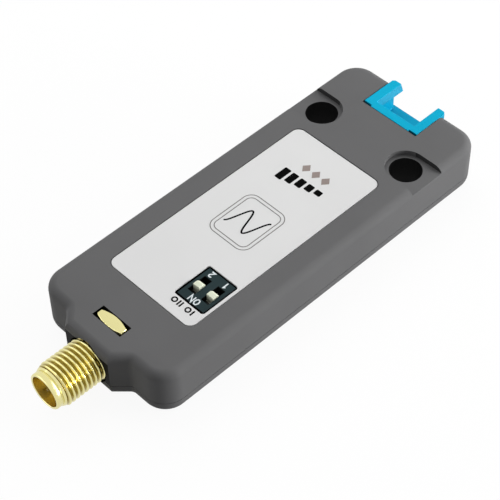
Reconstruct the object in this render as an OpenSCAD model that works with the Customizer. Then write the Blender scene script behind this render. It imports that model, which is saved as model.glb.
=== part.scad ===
// Long-range radio module in a flat moulded case: a four-way cable socket in one end,
// a threaded aerial jack in the other, two pin holes and a two-way slide switch.
// Millimetres. The origin is midway between the pin holes, on the underside.
// +X runs to the aerial jack, +Y to the side with the slide switch.

/* [Case] */
// Width of the case across its long sides
case_w = 24; // [23.4:0.1:28]
// Height of the case
case_h = 8; // [7.8:0.1:9]
// From the line of the pin holes to the socket end
rear_len = 11.35; // [11.2:0.05:13]
// From the line of the pin holes to the shoulders beside the jack
shoulder_len = 49; // [48.8:0.1:54]
// How far the neck reaches past the shoulders
neck_len = 2; // [1.2:0.1:3]
// Width of the neck's end face
neck_w = 8.2; // [7.6:0.1:9]
// Radius of the four upright corners
corner_r = 3.4; // [2.6:0.1:4]
// Rounding of the upper edge
top_round = 1.3; // [0.6:0.05:1.4]
// Rounding of the lower edge
base_round = 1.8; // [1:0.05:2]
// Thickness of the side and end walls
wall = 1.4; // [1.2:0.05:1.5]

/* [Pin holes] */
// From each long side to the middle of its pin hole
pin_side = 4; // [3.9:0.05:4.2]
// Radius of each pin hole
pin_r = 2.35; // [2.2:0.05:2.45]
// Radius of the recess round each hole
pin_recess_r = 3; // [2.8:0.05:3.2]
// Depth of that recess
pin_recess = 0.8; // [0.4:0.1:1]
// Wall round each recess, inside the case
pin_wall = 0.8; // [0.6:0.05:0.9]

/* [Label] */
// From the shoulders back to the label
label_front = 8.6; // [8.2:0.1:9.4]
// From each long side to the label
label_side = 4.15; // [3.9:0.05:4.5]
// From the line of the pin holes to the label
label_x = 4.9; // [4.5:0.1:5.4]
// Radius of the label's corners
label_r = 1.2; // [0.6:0.1:2]
// Thickness of the label
label_t = 0.2; // [0.1:0.05:0.3]
// Depth of the label's bed in the case
label_bed = 0.25; // [0.2:0.05:0.35]

/* [Radio board] */
// From the line of the pin holes to the radio board
radio_x = 7.2; // [6.8:0.1:7.6]
// From the shoulders back to the radio board
radio_front = 19.8; // [19.5:0.1:22]
// From each long side to the radio board
radio_side = 4; // [3.6:0.1:4.4]
// Height of the shield can over the radio board
can_h = 1.9; // [1.5:0.1:2]

/* [Socket] */
// Width of the cable socket
socket_w = 9.95; // [9.8:0.05:10.1]
// Length of the cable socket
socket_l = 6.55; // [6.3:0.05:7]
// How far the socket stands out of the case
socket_out = 0.5; // [0.2:0.05:0.7]
// Thickness of the socket's walls
socket_wall = 0.75; // [0.6:0.05:0.8]
// Pitch of the four contacts
contact_pitch = 2; // [1.9:0.05:2.05]
// Width and thickness of a contact pin
contact_t = 0.5; // [0.4:0.05:0.6]

/* [Slide switch] */
// From the shoulders back to the switch's middle
switch_front = 14.5; // [14.3:0.1:14.8]
// From the long side to the switch's middle
switch_side = 7.34; // [7.3:0.02:7.5]
// Size of the switch along the case
switch_l = 5.8; // [5.7:0.05:5.9]
// Size of the switch across the case
switch_w = 4.9; // [4.8:0.05:5]
// Depth of the switch's top under the case's
switch_sunk = 0.2; // [0.1:0.05:0.4]
// Pitch of the two levers
lever_pitch = 2.5; // [2.4:0.05:2.54]
// Width of a lever's knob
knob_w = 1.15; // [1:0.05:1.3]
// Length of a lever's knob at its foot
knob_l = 1.2; // [1.1:0.05:1.3]
// Travel of a lever
lever_travel = 0.8; // [0.6:0.05:0.85]

/* [Aerial jack] */
// Outer radius of the jack's thread
thread_r = 3.175; // [3:0.025:3.2]
// From the neck's face to the end of the jack
jack_out = 7.2; // [6.8:0.1:8]
// Radius of the plain ring at the jack's mouth
lip_r = 2.68; // [2.6:0.02:2.8]
// Length of that ring
lip_l = 1; // [0.8:0.05:1.2]
// Radius of the jack's mouth
mouth_r = 2.3; // [2.2:0.02:2.35]
// Depth of the mouth down to the insulator
mouth_depth = 3; // [2:0.1:3.4]
// Size of the six-sided collar across its flats
collar_af = 8; // [7.8:0.05:8.2]
// Thickness of the collar
collar_t = 1.75; // [1.6:0.05:1.8]

/* [Screws] */
// Radius of a screw's head
head_r = 1.75; // [1.6:0.05:1.8]
// Radius of a screw's shank
shank_r = 0.95; // [0.8:0.05:1]

/* [Hidden] */

$fn = 64;
eps = 0.01;
play = 0.1;
fit_gap = 0.15;
// How far a cutting solid reaches past what it cuts, and a length that passes right through the case
over = 1;
far = 60;

// Plan of the case, and what follows from it
half_w = case_w / 2;
neck_x = shoulder_len + neck_len;
root_r = 1;
root_span = 1.5;
case_mid = case_h / 2;

// Heights inside the case are shares of its own
share_h = case_h / 40;
roof = 6 * share_h;
floor_t = 5 * share_h;
rail_h = 2 * share_h;
board_t = 5 * share_h;
radio_t = 4 * share_h;
rail_top = floor_t + rail_h;
board_top = rail_top + board_t;
split_z = board_top - play;
lap_h = 0.7;
lap_t = wall * 0.45;
inner_top = case_h - roof;
pin_y = half_w - pin_side;
pin_boss_r = pin_recess_r + pin_wall;
label_l = shoulder_len - label_front - label_x;
label_w = case_w - 2 * label_side;

// Screws at the four corners of the case
boss_r = 2.4;
screw_inset = 2.15;
screw_xs = [-rear_len + base_round + screw_inset, shoulder_len - base_round - screw_inset];
screw_y = half_w - base_round - screw_inset - play;
head_h = 1.1;
head_well = 1.25;
shank_hole_r = shank_r + fit_gap;
shank_under = 0.35;
shank_l = inner_top - head_well - shank_under;
pilot_spare = 0.4;
pilot_depth = shank_l + head_well - split_z + pilot_spare;
tip_l = 0.6;
recess_l = 2;
recess_w = 0.4;
recess_d = 0.7;

// Aerial jack: the collar lies in a six-sided pocket that opens as a slot on both faces
collar_gap = 0.3;
neck_wall = 3.45;
block_wall = 1.4;
block_side = 5;
block_w = case_w - 2 * block_side;
pocket_l = collar_t + 2 * play;
pocket_end = neck_x - neck_wall;
pocket_x = pocket_end - pocket_l;
block_x = pocket_x - block_wall;
collar_x = pocket_x + play;
collar_end = collar_x + collar_t;
collar_bevel = 0.55;
jack_end = neck_x + jack_out;
lip_x = jack_end - lip_l;
lip_root = 0.05;
lip_set = 0.55;
thread_end = lip_x - lip_set;
relief_d = 0.175;
relief_r = thread_r - relief_d;
relief_end = neck_x + play;
shank_gap = 0.275;
stub_r = 2.2;
stub_l = 3;
stub_x = collar_x - stub_l;
stub_bevel = 0.3;
stub_bore_r = 1.13;
lip_bevel = 0.12;
mouth_x = jack_end - mouth_depth;

// What runs inside the jack and behind it
insulator_r = 2.05;
rod_r = 0.63;
pin_sunk = 0.5;
pin_end = jack_end - pin_sunk;
pin_tip_r = 0.46;
pin_tail_r = 0.44;
sleeve_r = case_mid - board_top - play;
sleeve_l = 3.4;
sleeve_x = stub_x - sleeve_l;

// Socket
socket_front = -rear_len - socket_out;
socket_rear = socket_front + socket_l;
socket_base = 0.8;
socket_floor = board_top + socket_base;
socket_back = 1.35;
notch_half = 3.55;
notch_lip = 1.1;
notch_flare = 0.5;
side_set = 0.55;
key_w = 1.4;
key_d = 0.3;
corner_cut = 0.5;
contact_rise = 2.6;
contact_z = board_top + contact_rise;
contact_in = 3.4;
contact_tip = socket_front + contact_in;
contact_bevel = 0.35;
contact_past = 0.35;
contact_bend = socket_rear + contact_past;
contact_foot = 1.3;
contact_gap = 0.02;
anchor_l = 1.8;
anchor_h = 2.2;
anchor_t = 0.3;
anchor_back = 3.4;
anchor_x = socket_rear - anchor_back;
cutout_gap = 0.08;

// Slide switch
switch_x = shoulder_len - switch_front;
switch_y = half_w - switch_side;
switch_top = case_h - switch_sunk;
switch_base_h = 3;
switch_split = board_top + switch_base_h;
switch_foot = 0.3;
window_gap = 0.3;
window_shift = 0.07;
window_r = 0.45;
slot_gap = 0.08;
slot_l = 3.05;
slot_w = knob_w + 2 * slot_gap;
lever_home = 0.1;
lever_y = [switch_y + lever_pitch / 2, switch_y - lever_pitch / 2];
knob_over = 0.44;
knob_ramp = 0.42;
slide_h = 1.45;
slide_end = 0.35;
slide_lip = 0.25;
slide_l = knob_l + 2 * slide_end;
slide_w = knob_w + 2 * slide_lip;
slide_z = switch_split + play;
slide_gap = 0.1;
slide_room_x = switch_x + lever_home - lever_travel / 2;
slide_room_l = slide_l + lever_travel + 2 * slide_gap;
channel_d = 0.5;
channel_step = 0.2;
channel_w = slide_w - 2 * channel_step;
terminal_w = 0.6;
terminal_t = 0.25;
terminal_reach = 0.9;
terminal_rise = 1.1;
terminal_gap = 0.15;
terminal_in = 0.75;
terminal_play = 0.03;

// Boards, and the chips on them
rail_w = 1.2;
rail_side = 1.4;
rail_y = half_w - wall - rail_side;
rear_rail_w = 8;
board_gap = 0.25;
board_rear = -rear_len + wall + board_gap;
board_front = block_x - board_gap;
board_half = half_w - wall - board_gap;
radio_l = shoulder_len - radio_front - radio_x;
radio_w = case_w - 2 * radio_side;
radio_top = board_top + radio_t;
edge_holes = 14;
edge_pitch = 1.27;
edge_r = 0.35;
can_inset = 1;
can_front = 6;
can_l = radio_l - can_inset - can_front;
can_w = radio_w - 2 * can_inset;
can_x = radio_x + can_inset;
can_wall = 0.2;
can_r = 0.6;
oscillator_at = [can_x + can_l / 3, 2];
oscillator_size = [3.2, 2.5, 0.9];
regulator_at = [2.4, 0];
regulator_size = [2.9, 1.6, 1.1];
regulator_leg = [0.4, 1, 0.15];
leg_pitch = 0.95;
leg_in = 0.3;
capacitor_size = [0.8, 1.6, 0.8];
lane_y = pin_y - pin_boss_r - 1.8;
strip_x = radio_x - 1.6;
strip_pitch = half_w / 5;
capacitor_spots = [[-1.2, lane_y], [-0.1, lane_y], [strip_x, 0],
                   [radio_x + radio_l + 2.4, block_side + capacitor_size.y / 2 - half_w]];
resistor_size = [0.8, 1.6, 0.45];
resistor_pitch = 1.6;
resistor_row = [switch_x - 0.5, block_side - half_w];
resistor_spots = [[strip_x, -strip_pitch], [strip_x, strip_pitch]];

// Plug of the aerial lead on its receptacle
plug_back = 2.8;
plug_y = -4;
plug_at = [radio_x + radio_l - plug_back, plug_y];
plug_r = 1.1;
plug_lift = 0.35;
plug_z = radio_top + plug_lift;
plug_side_lift = 0.4;
plug_side_z = radio_top + plug_side_lift;
plug_side_l = 1.8;
plug_side_gap = 0.2;
plug_roof = 0.25;
receptacle_w = 2;
receptacle_t = 0.3;
receptacle_r = 0.75;
receptacle_h = 0.75;

// Aerial lead: two arcs carry it over from the jack's axis to the plug
lead_r = 0.55;
lead_gap = 0.02;
lead_bend = 70;
lead_sides = 12;
lead_steps = 8;
lead_turn = abs(plug_y) / (2 * (1 - cos(lead_bend)));
lead_straight = 0.2;
bend_start = sleeve_x - lead_straight;
bend_end = bend_start - 2 * lead_turn * sin(lead_bend);
lead_in = 0.7;
lead_start = stub_x - lead_in;
lead_end = plug_at.x + plug_r - play / 2;

// Stations of the lead as [x, y, heading], where a heading of 0 runs towards -X
lead_path = concat(
    [[lead_start, 0, 0]],
    [for (i = [0:lead_steps]) let (a = lead_bend * i / lead_steps)
        [bend_start - lead_turn * sin(a), -lead_turn * (1 - cos(a)), a]],
    [for (i = [1:lead_steps]) let (a = lead_bend * (1 - i / lead_steps))
        [bend_end + lead_turn * sin(a), plug_y + lead_turn * (1 - cos(a)), a]],
    [[lead_end, plug_y, 0]]);

// Section through a slab of length l, with its edges rounded by low and high
module slab_section(l, low = base_round, high = top_round) {
    translate([0, low]) square([l, case_h - low - high]);
    translate([low, 0]) square([l - 2 * low, case_mid]);
    translate([high, case_mid]) square([l - 2 * high, case_mid]);
    for (x = [low, l - low]) translate([x, low]) circle(low);
    for (x = [high, l - high]) translate([x, case_h - high]) circle(high);
}

// A slab whose long rounded edges lie along Y, from x0 to x1
module slab_y(x0, x1, half_y, low = base_round, high = top_round) {
    translate([x0, half_y, 0]) rotate([90, 0, 0]) linear_extrude(2 * half_y)
        slab_section(x1 - x0, low, high);
}

module slab_x(x0, x1, half_y) {
    translate([x0, -half_y, 0]) rotate([90, 0, 90]) linear_extrude(x1 - x0) slab_section(2 * half_y);
}

// A neck with two cheeks at 45 degrees: three rounded slabs bound it. The front one is a little
// less rounded, so that the three don't begin to curve at one point
module neck() {
    cheek_out = (neck_x + neck_w / 2) / sqrt(2);
    intersection() {
        slab_y(neck_x - far / 4, neck_x, half_w, base_round - play / 4, top_round - play / 4);
        rotate(45) slab_y(cheek_out - far / 4, cheek_out, far);
        rotate(-45) slab_y(cheek_out - far / 4, cheek_out, far);
        translate([shoulder_len - corner_r, -half_w, 0]) cube([far, case_w, case_h]);
    }
}

// The hollow corner where a cheek meets its shoulder
module neck_roots() {
    root_y = neck_w / 2 + neck_len + root_r * tan(22.5);
    for (s = [0, 1]) mirror([0, s, 0])
        translate([shoulder_len + root_r, root_y, 0]) rotate(180) rotate_extrude(angle = 45)
            translate([root_r, 0]) intersection() {
                slab_section(4 * root_span);
                square([2 * root_span, case_h]);
            }
}

// Outer form of the closed case, with its edges rounded above and below
module case_form() {
    slab_y(-rear_len, shoulder_len, half_w - corner_r);
    slab_x(corner_r - rear_len, shoulder_len - corner_r, half_w);
    for (x = [corner_r - rear_len, shoulder_len - corner_r], s = [-1, 1])
        translate([x, s * (half_w - corner_r), 0]) rotate_extrude()
            intersection() {
                translate([-corner_r, 0]) slab_section(2 * corner_r);
                square([corner_r, case_h]);
            }
    neck();
    neck_roots();
}

module case_prism(inset, low, high) {
    translate([inset - rear_len, 0, low])
        rounded_plate(rear_len + shoulder_len - 2 * inset, case_w - 2 * inset, corner_r - inset,
                      high - low);
}

module below(z) {
    translate([-rear_len - over, -half_w - over, z - far])
        cube([jack_end + rear_len + 2 * over, case_w + 2 * over, far]);
}

module bar_x(x0, x1, r) {
    translate([x0, 0, case_mid]) rotate([0, 90, 0]) cylinder(h = x1 - x0, r = r);
}

module hex_x(x0, x1, across) {
    translate([x0, 0, case_mid]) rotate([0, 90, 0]) rotate(30)
        cylinder(h = x1 - x0, r = across / sqrt(3), $fn = 6);
}

// A turned form on the jack's axis, from its half section as [radius, x]
module turned(profile) {
    translate([0, 0, case_mid]) rotate([0, 90, 0]) rotate_extrude() polygon(profile);
}

module rounded_plate(l, w, r, h) {
    translate([r, r - w / 2, 0]) cube([l - 2 * r, w - 2 * r, h]);
    translate([0, r - w / 2, 0]) cube([l, w - 2 * r, h]);
    translate([r, -w / 2, 0]) cube([l - 2 * r, w, h]);
    for (x = [r, l - r], y = [r - w / 2, w / 2 - r])
        translate([x, y, 0]) cylinder(h = h, r = r);
}

// A block of size [length, width, height] that stands at z, centred on a point
module chip(at, z, size) {
    translate([at.x - size.x / 2, at.y - size.y / 2, z]) cube(size);
}

// A flat strip of width w, bent in the XZ plane round its outline
module strip(y, w, outline) {
    translate([0, y + w / 2, 0]) rotate([90, 0, 0]) linear_extrude(w) polygon(outline);
}

// Outline of a pin hole's boss or recess, open to the long side
module side_slot(r, low, high) {
    for (s = [-1, 1]) {
        translate([0, s * pin_y, low]) cylinder(h = high - low, r = r);
        translate([-r, s > 0 ? pin_y : -half_w - over, low])
            cube([2 * r, half_w + over - pin_y, high - low]);
    }
}

module pin_bores() {
    for (s = [-1, 1])
        translate([0, s * pin_y, -over]) cylinder(h = case_h + 2 * over, r = pin_r);
    side_slot(pin_recess_r, case_h - pin_recess, case_h + over);
    side_slot(pin_recess_r, -over, pin_recess);
}

// The block that holds the jack, widened by gap
module jack_block(x, gap) {
    translate([x, -block_w / 2 - gap, 0]) cube([far, block_w + 2 * gap, case_h]);
}

// Solid parts inside both shells: pin bosses, screw bosses and the jack's block
module case_inside() {
    side_slot(pin_boss_r, 0, case_h);
    for (x = screw_xs, s = [-1, 1])
        translate([x, s * screw_y, 0]) cylinder(h = case_h, r = boss_r);
    jack_block(block_x, 0);
}

module jack_room() {
    hex_x(pocket_x, pocket_end, collar_af + 2 * collar_gap);
    bar_x(pocket_end - eps, neck_x + over, thread_r + shank_gap);
    bar_x(block_x - over, pocket_x + eps, stub_r + collar_gap);
}

module switch_window(low, high) {
    translate([switch_x + window_shift - switch_l / 2 - window_gap, switch_y, low])
        rounded_plate(switch_l + 2 * window_gap, switch_w + 2 * window_gap, window_r, high - low);
}

module socket_room(low) {
    translate([-rear_len - over, -socket_w / 2 - cutout_gap, low])
        cube([socket_rear + cutout_gap + rear_len + over, socket_w + 2 * cutout_gap, case_h + over]);
}

// Room in the top shell's wall for the bottom shell's lap
module lap_room() {
    difference() {
        case_prism(lap_t, 0, split_z + lap_h + play);
        case_prism(wall + eps, -over, case_h);
        side_slot(pin_boss_r, 0, case_h);
        jack_block(shoulder_len - corner_r, 0);
    }
}

module top_shell() {
    color("dimgray") difference() {
        union() {
            difference() {
                case_form();
                case_prism(wall, -over, inner_top);
            }
            intersection() {
                case_form();
                case_inside();
            }
        }
        below(split_z + play / 2);
        lap_room();
        pin_bores();
        jack_room();
        switch_window(0, case_h + over);
        socket_room(split_z);
        translate([label_x - fit_gap, 0, case_h - label_bed])
            rounded_plate(label_l + 2 * fit_gap, label_w + 2 * fit_gap, label_r + fit_gap, over);
        for (x = screw_xs, s = [-1, 1])
            translate([x, s * screw_y, split_z - over])
                cylinder(h = pilot_depth + over, r = shank_r + play / 2);
    }
}

// The rim's lap stands up inside the top shell, apart from the bosses, the socket and the jack
module rim_lap() {
    difference() {
        case_prism(lap_t + play, split_z - over, split_z + lap_h);
        case_prism(wall, 0, case_h);
        side_slot(pin_boss_r + play, 0, case_h);
        jack_block(shoulder_len - corner_r - play, play);
        socket_room(split_z - over - eps);
    }
}

// Three rails on the floor carry the main board
module board_rails() {
    rail_l = block_x - pin_boss_r - 4 * over;
    for (s = [-1, 1])
        translate([pin_boss_r + over, s * rail_y - rail_w / 2, floor_t - eps])
            cube([rail_l, rail_w, rail_h + eps]);
    translate([board_rear + rail_w / 3, -rear_rail_w / 2, floor_t - eps])
        cube([rail_w, rear_rail_w, rail_h + eps]);
}

module bottom_shell() {
    color("dimgray") difference() {
        union() {
            difference() {
                intersection() {
                    case_form();
                    below(split_z);
                }
                case_prism(wall, floor_t, case_h);
            }
            intersection() {
                case_form();
                case_inside();
                below(split_z);
            }
            rim_lap();
            board_rails();
        }
        pin_bores();
        jack_room();
        for (x = screw_xs, s = [-1, 1])
            translate([x, s * screw_y, -over]) {
                cylinder(h = case_h, r = shank_hole_r);
                cylinder(h = head_well + over, r = head_r + fit_gap);
            }
    }
}

module label() {
    color("gainsboro") difference() {
        translate([label_x, 0, case_h - label_bed])
            rounded_plate(label_l, label_w, label_r, label_t);
        switch_window(0, case_h + over);
    }
}

// The main board is cut back round the pin bosses, the rear screws, the socket's sides and the jack
module main_board() {
    wide_x = pin_boss_r + board_gap;
    color("darkslategray") difference() {
        translate([0, 0, rail_top]) union() {
            translate([board_rear, -socket_w / 2, 0]) cube([board_front - board_rear, socket_w, board_t]);
            translate([wide_x, -board_half, 0]) cube([board_front - wide_x - over, 2 * board_half, board_t]);
        }
        side_slot(pin_boss_r + board_gap, 0, case_h);
        for (x = screw_xs, s = [-1, 1])
            translate([x, s * screw_y, 0]) cylinder(h = case_h, r = boss_r + board_gap);
        translate([stub_x - board_gap, -stub_r - board_gap, 0])
            cube([stub_l, 2 * (stub_r + board_gap), case_h]);
    }
}

// The radio board has half-round plated holes along both long edges
module radio_board() {
    color("seagreen") difference() {
        translate([radio_x, -radio_w / 2, board_top]) cube([radio_l, radio_w, radio_t]);
        for (i = [0:edge_holes - 1], s = [-1, 1])
            translate([radio_x + radio_l / 2 + (i - (edge_holes - 1) / 2) * edge_pitch,
                       s * radio_w / 2, board_top - over])
                cylinder(h = radio_t + 2 * over, r = edge_r, $fn = 24);
    }
}

module shield_can() {
    color("silver") difference() {
        translate([can_x, 0, radio_top]) rounded_plate(can_l, can_w, can_r, can_h);
        translate([can_x + can_wall, 0, radio_top - over])
            rounded_plate(can_l - 2 * can_wall, can_w - 2 * can_wall, can_r / 2, can_h + over - can_wall);
    }
}

module oscillator() {
    color("silver") chip(oscillator_at, radio_top, oscillator_size);
}

module level_regulator() {
    leg_y = (regulator_size.y + regulator_leg.y) / 2 - leg_in;
    color("black") {
        chip(regulator_at, board_top, regulator_size);
        for (i = [-1:1])
            chip(regulator_at + [i * leg_pitch, -leg_y], board_top, regulator_leg);
        chip(regulator_at + [0, leg_y], board_top, regulator_leg);
    }
}

module chip_capacitors() {
    color("peru") for (at = capacitor_spots) chip(at, board_top, capacitor_size);
}

module chip_resistors() {
    color("black") {
        for (i = [0:3]) chip(resistor_row + [i * resistor_pitch, 0], board_top, resistor_size);
        for (at = resistor_spots) chip(at, board_top, resistor_size);
    }
}

// The base carries the terminals, and each lever slides in its own channel
module switch_base() {
    base_z = board_top + switch_foot;
    color("black") difference() {
        chip([switch_x, switch_y], base_z, [switch_l, switch_w, switch_split - base_z]);
        for (y = lever_y)
            chip([slide_room_x, y], switch_split - channel_d, [slide_room_l, channel_w, channel_d + over]);
        for (y = lever_y, s = [-1, 1])
            chip([switch_x + s * switch_l / 2, y], board_top,
                 [2 * (terminal_in + 2 * terminal_play), terminal_w + 2 * terminal_play,
                  terminal_rise + terminal_play]);
    }
}

module switch_cover() {
    color("darkslategray") difference() {
        chip([switch_x, switch_y], switch_split, [switch_l, switch_w, switch_top - switch_split]);
        for (y = lever_y) {
            chip([switch_x, y], switch_split - over, [slot_l, slot_w, case_h]);
            chip([slide_room_x, y], switch_split - over,
                 [slide_room_l, slide_w + 2 * slide_gap, over + slide_h + 2 * slide_gap]);
        }
    }
}

// A lever's knob is steep in front and has a ramp behind. It stands on a flat slide under the cover
module lever(y) {
    x = switch_x + lever_home;
    foot_z = slide_z + slide_h - eps;
    knob_top = switch_top + knob_over;
    color("honeydew") {
        chip([x, y], slide_z, [slide_l, slide_w, slide_h]);
        strip(y, knob_w, [[x - knob_l / 2, foot_z], [x + knob_l / 2, foot_z], [x + knob_l / 2, knob_top],
                          [x + knob_ramp - knob_l / 2, knob_top], [x - knob_l / 2, knob_top - knob_ramp]]);
    }
}

module switch_lever_1() {
    lever(lever_y[0]);
}

module switch_lever_2() {
    lever(lever_y[1]);
}

// Gull-wing terminals: a flat foot, a riser and a tongue that enters the base
module switch_terminals() {
    end = switch_l / 2;
    riser = end + terminal_gap;
    t = terminal_t;
    outline = [[end + terminal_reach, 0], [end + terminal_reach, t], [riser + t, t],
               [riser + t, terminal_rise], [end - terminal_in, terminal_rise],
               [end - terminal_in, terminal_rise - t], [riser, terminal_rise - t], [riser, 0]];
    color("silver") for (y = lever_y, s = [-1, 1])
        strip(y, terminal_w, [for (p = outline) [switch_x + s * p.x, board_top + p.y]]);
}

// The notch in the socket's roof has flared edges, and a lip closes in under them
module socket_notch(l) {
    roof_z = case_h - notch_lip;
    lip_half = notch_half - notch_flare;
    rotate([90, 0, 90]) linear_extrude(l)
        polygon([[-lip_half, roof_z - over], [lip_half, roof_z - over], [lip_half, roof_z],
                 [notch_half, case_h + eps], [-notch_half, case_h + eps], [-lip_half, roof_z]]);
}

// The socket's mouth faces the case's end. Its side walls stop short of the roof's two prongs
// and of the floor
module socket_housing() {
    half = socket_w / 2;
    roof_z = case_h - notch_lip;
    room_l = socket_l - socket_back + over;
    pin_hole = contact_t + 2 * contact_gap;
    color("deepskyblue") difference() {
        translate([socket_front, -half, board_top]) cube([socket_l, socket_w, case_h - board_top]);
        translate([socket_front - over, socket_wall - half, socket_floor])
            cube([room_l, socket_w - 2 * socket_wall, roof_z - socket_floor]);
        translate([socket_front - over, 0, 0]) socket_notch(room_l);
        for (s = [-1, 1]) {
            translate([socket_front - over, s > 0 ? half - socket_wall - over : -half - over, socket_floor])
                cube([over + side_set, socket_wall + 2 * over, roof_z - socket_floor]);
            translate([socket_rear - key_d, s > 0 ? half - key_w : -half - over, board_top - over])
                cube([key_d + over, key_w + over, case_h]);
            translate([socket_front, s * half, board_top - over]) rotate(45)
                cube([corner_cut, corner_cut, 2 * case_h], center = true);
            anchor_slot(s, play / 2);
        }
        for (i = [-1.5:1.5])
            chip([socket_rear - socket_back, i * contact_pitch], contact_z - pin_hole / 2,
                 [3 * socket_back, pin_hole, pin_hole]);
    }
}

// Four pins pass through the socket's back wall and bend down to the board behind it
module socket_contacts() {
    low = contact_z - contact_t / 2;
    high = contact_z + contact_t / 2;
    foot_x = contact_bend + contact_foot;
    foot_z = board_top + contact_t / 2;
    color("gold") for (i = [-1.5:1.5])
        strip(i * contact_pitch, contact_t,
              [[contact_tip, contact_z - contact_t / 5], [contact_tip + contact_bevel, low],
               [contact_bend, low], [contact_bend, board_top], [foot_x, board_top], [foot_x, foot_z],
               [contact_bend + contact_t, foot_z], [contact_bend + contact_t, high],
               [contact_tip + contact_bevel, high], [contact_tip, contact_z + contact_t / 5]]);
}

module anchor_slot(s, gap) {
    t = anchor_t + gap;
    translate([anchor_x - gap, s > 0 ? socket_w / 2 - t : -socket_w / 2 - over, board_top - over])
        cube([anchor_l + 2 * gap, t + over, anchor_h + over + gap]);
}

// A tin-plated tab in each side wall is soldered down beside the socket
module socket_anchors() {
    color("silver") for (s = [-1, 1]) intersection() {
        anchor_slot(s, 0);
        translate([socket_front, -socket_w / 2, board_top]) cube([socket_l, socket_w, case_h]);
    }
}

// The jack is turned in one piece: mouth ring, threaded barrel, six-sided collar and rear stub
module aerial_jack() {
    flat_r = (collar_af - play) / 2;
    tip_r = collar_af / sqrt(3) + play / 2;
    color("goldenrod") difference() {
        union() {
            turned([[0, stub_x], [stub_r - stub_bevel, stub_x], [stub_r, stub_x + stub_bevel],
                    [stub_r, collar_x + eps], [relief_r, collar_end - eps], [relief_r, relief_end],
                    [thread_r, relief_end], [thread_r, thread_end], [lip_r, lip_x - lip_root],
                    [lip_r, jack_end - lip_bevel], [lip_r - lip_bevel, jack_end], [0, jack_end]]);
            intersection() {
                hex_x(collar_x, collar_end, collar_af);
                turned([[0, collar_x], [flat_r, collar_x], [tip_r, collar_x + collar_bevel],
                        [tip_r, collar_end - collar_bevel], [flat_r, collar_end], [0, collar_end]]);
            }
        }
        bar_x(mouth_x, jack_end + over, mouth_r);
        bar_x(collar_x, mouth_x + eps, insulator_r);
        bar_x(stub_x - over, collar_x + eps, stub_bore_r);
    }
}

module jack_insulator() {
    color("white") difference() {
        bar_x(collar_x + lead_gap, mouth_x, insulator_r - lead_gap);
        bar_x(collar_x - over, jack_end, rod_r + lead_gap);
    }
}

// The contact is one pin: it stands in the mouth, passes through the insulator and ends in a tail
module jack_contact() {
    color("gold") turned([[0, stub_x - pin_tail_r], [pin_tail_r, stub_x - pin_tail_r],
                          [pin_tail_r, collar_x - pin_tail_r], [rod_r, collar_x - pin_tail_r],
                          [rod_r, mouth_x], [pin_tip_r, mouth_x], [pin_tip_r, pin_end - pin_tip_r],
                          [pin_tip_r / 3, pin_end], [0, pin_end]]);
}

module crimp_sleeve() {
    color("gold") difference() {
        bar_x(sleeve_x, stub_x - play / 2, sleeve_r);
        bar_x(sleeve_x - over, stub_x + over, lead_r + lead_gap);
    }
}

// A twelve-sided tube swept along lead_path in the jack's height
module aerial_lead() {
    n = len(lead_path);
    m = lead_sides;
    points = [for (p = lead_path, i = [0:m - 1])
        let (a = 360 * i / m, side = lead_r * cos(a))
        [p.x + side * sin(p.z), p.y - side * cos(p.z), case_mid + lead_r * sin(a)]];
    faces = concat(
        [[for (i = [m - 1:-1:0]) i]],
        [for (j = [0:n - 2], i = [0:m - 1])
            [j * m + i, j * m + (i + 1) % m, (j + 1) * m + (i + 1) % m, (j + 1) * m + i]],
        [[for (i = [0:m - 1]) (n - 1) * m + i]]);
    color("dimgray") polyhedron(points, faces, convexity = 4);
}

module lead_plug() {
    plug_top = case_mid + lead_r + plug_roof;
    color("gold") difference() {
        union() {
            translate([plug_at.x, plug_y, plug_z]) cylinder(h = plug_top - plug_z, r = plug_r);
            chip(plug_at + [plug_r + plug_side_l / 3, 0], plug_side_z,
                 [plug_side_l, 2 * (lead_r + plug_side_gap), plug_top - plug_side_z]);
        }
        translate([0, plug_y, 0]) bar_x(lead_end - lead_gap, bend_end, lead_r + lead_gap);
        translate([plug_at.x, plug_y, 0])
            cylinder(h = radio_top + receptacle_h + play / 2, r = receptacle_r + play / 2);
    }
}

module lead_receptacle() {
    color("gold") {
        chip(plug_at, radio_top, [receptacle_w, receptacle_w, receptacle_t]);
        translate([plug_at.x, plug_y, radio_top]) cylinder(h = receptacle_h, r = receptacle_r);
    }
}

// Cross-recessed screws enter from below
module case_screws() {
    color("dimgray") for (x = screw_xs, s = [-1, 1])
        translate([x, s * screw_y, head_well]) difference() {
            union() {
                translate([0, 0, -head_h]) cylinder(h = head_h, r = head_r);
                cylinder(h = shank_l - tip_l, r = shank_r);
                translate([0, 0, shank_l - tip_l]) cylinder(h = tip_l, r1 = shank_r, r2 = shank_r / 2);
            }
            for (a = [0, 90]) rotate(a)
                translate([-recess_l / 2, -recess_w / 2, -head_h - over])
                    cube([recess_l, recess_w, over + recess_d]);
        }
}

top_shell();
bottom_shell();
label();
main_board();
radio_board();
shield_can();
oscillator();
level_regulator();
chip_capacitors();
chip_resistors();
switch_base();
switch_cover();
switch_lever_1();
switch_lever_2();
switch_terminals();
socket_housing();
socket_contacts();
socket_anchors();
aerial_jack();
jack_insulator();
jack_contact();
crimp_sleeve();
aerial_lead();
lead_plug();
lead_receptacle();
case_screws();
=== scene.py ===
"""Looks of a flat long-range radio module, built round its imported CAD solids.

Lengths are in millimetres until a mesh is made. +X runs to the aerial jack, +Y to the side with the
slide switch, and +Z up through the labelled face.
"""

from __future__ import annotations

import logging
import math
from collections.abc import Callable
from dataclasses import dataclass, field
from enum import Enum

import bmesh
import bpy
import numpy as np
from mathutils import Matrix, Vector

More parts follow.
